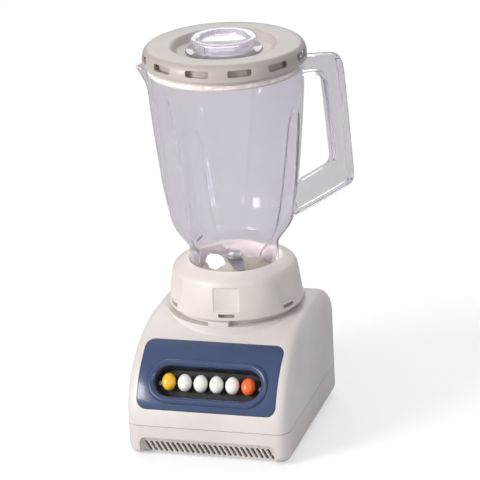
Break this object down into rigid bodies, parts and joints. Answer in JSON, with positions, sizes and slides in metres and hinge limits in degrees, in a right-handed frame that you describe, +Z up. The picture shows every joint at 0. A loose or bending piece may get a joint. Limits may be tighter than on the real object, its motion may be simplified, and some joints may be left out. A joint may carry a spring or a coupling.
{
  "type": "countertop blender",
  "caption": "Countertop blender with a push-button motor base, a clear handled jar, a removable blade collar and a lid with a filler cap.",
  "frame": {"origin": "the middle of the whole object's outline seen from above, in the plane that the rubber feet stand on; the motor's and jar's axis stands at x -15.4 mm, y +20.4 mm", "axes": "+Z up along the motor's axis, -Y towards the front with the buttons, +X to the right of someone facing the buttons"},
  "size_m": [0.1751, 0.1808, 0.3446],
  "materials": {
    "housing_plastic": "satin",
    "pan_plastic": "satin",
    "panel_plastic": "satin",
    "collar_plastic": "satin",
    "lid_plastic": "satin",
    "jar_clear": "clear moulded plastic",
    "cap_clear": "clear moulded plastic",
    "button_yellow": "gloss",
    "button_white": "gloss",
    "button_red": "gloss",
    "nylon_white": "matte",
    "steel_blade": "ground",
    "steel_zinc": "zinc plated",
    "iron_core": "laminated",
    "copper_wire": "enamelled wire",
    "bronze_bush": "sintered",
    "brown_resin": "moulded resin",
    "carbon": "pressed carbon",
    "fan_plastic": "matte",
    "black_rubber": "moulded",
    "grey_rubber": "moulded",
    "seal_rubber": "moulded"
  },
  "bodies": {
    "base": {"upper_housing": "housing_plastic", "bottom_pan": "pan_plastic", "control_panel": "panel_plastic", "switch_block": "nylon_white", "switch_bracket_screws": "steel_zinc", "rubber_feet": "grey_rubber", "housing_screws": "steel_zinc", "cord_gland": "black_rubber", "stator_core": "iron_core", "field_coils": "copper_wire", "lower_bracket": "steel_zinc", "upper_bracket": "steel_zinc", "bracket_screws": "steel_zinc", "motor_mounts": "black_rubber", "lower_bush": "bronze_bush", "upper_bush": "bronze_bush", "brush_holders": "brown_resin", "carbon_brushes": "carbon"},
    "rotor": {"motor_shaft": "steel_zinc", "armature_core": "iron_core", "armature_winding": "copper_wire", "commutator": "copper_wire", "cooling_fan": "fan_plastic", "drive_coupling": "black_rubber"},
    "key_yellow": {"button_yellow": "button_yellow", "plunger_yellow": "nylon_white"},
    "key_white_1": {"button_white_1": "button_white", "plunger_white_1": "nylon_white"},
    "key_white_2": {"button_white_2": "button_white", "plunger_white_2": "nylon_white"},
    "key_white_3": {"button_white_3": "button_white", "plunger_white_3": "nylon_white"},
    "key_white_4": {"button_white_4": "button_white", "plunger_white_4": "nylon_white"},
    "key_red": {"button_red": "button_red", "plunger_red": "nylon_white"},
    "jar_unit": {"jar": "jar_clear", "collar": "collar_plastic", "bearing_housing": "nylon_white", "neck_seal": "seal_rubber", "spindle_bush": "bronze_bush"},
    "blades": {"blade_spindle": "steel_zinc", "upper_blade": "steel_blade", "lower_blade": "steel_blade", "blade_nut": "steel_blade", "driven_coupling": "black_rubber"},
    "lid_unit": {"lid": "lid_plastic", "lid_gasket": "seal_rubber"},
    "cap": {"filler_cap": "cap_clear"}
  },
  "joints": [
    {"name": "rotor_spin", "type": "hinge", "parent": "base", "child": "rotor", "pos_m": [-0.0154, 0.0204, 0.05], "axis": [0, 0, 1], "continuous": true},
    {"name": "press_yellow", "type": "slide", "parent": "base", "child": "key_yellow", "axis": [0, 0.7986, -0.6018], "range_m": [0, 0.004], "stiffness_N_per_m": 400, "springref_m": -0.001},
    {"name": "press_white_1", "type": "slide", "parent": "base", "child": "key_white_1", "axis": [0, 0.7986, -0.6018], "range_m": [0, 0.004], "stiffness_N_per_m": 400, "springref_m": -0.001},
    {"name": "press_white_2", "type": "slide", "parent": "base", "child": "key_white_2", "axis": [0, 0.7986, -0.6018], "range_m": [0, 0.004], "stiffness_N_per_m": 400, "springref_m": -0.001},
    {"name": "press_white_3", "type": "slide", "parent": "base", "child": "key_white_3", "axis": [0, 0.7986, -0.6018], "range_m": [0, 0.004], "stiffness_N_per_m": 400, "springref_m": -0.001},
    {"name": "press_white_4", "type": "slide", "parent": "base", "child": "key_white_4", "axis": [0, 0.7986, -0.6018], "range_m": [0, 0.004], "stiffness_N_per_m": 400, "springref_m": -0.001},
    {"name": "press_red", "type": "slide", "parent": "base", "child": "key_red", "axis": [0, 0.7986, -0.6018], "range_m": [0, 0.004], "stiffness_N_per_m": 400, "springref_m": -0.001},
    {"name": "jar_lift", "type": "slide", "parent": "base", "child": "jar_unit", "axis": [0, 0, 1], "range_m": [0, 0.06]},
    {"name": "blade_spin", "type": "hinge", "parent": "jar_unit", "child": "blades", "pos_m": [-0.0154, 0.0204, 0.14], "axis": [0, 0, 1], "continuous": true},
    {"name": "lid_lift", "type": "slide", "parent": "jar_unit", "child": "lid_unit", "axis": [0, 0, 1], "range_m": [0, 0.16]},
    {"name": "cap_lift", "type": "slide", "parent": "lid_unit", "child": "cap", "axis": [0, 0, 1], "range_m": [0, 0.06]}
  ],
  "couplings": [
    {"joint": "blade_spin", "follows": "rotor_spin", "ratio": 1}
  ]
}
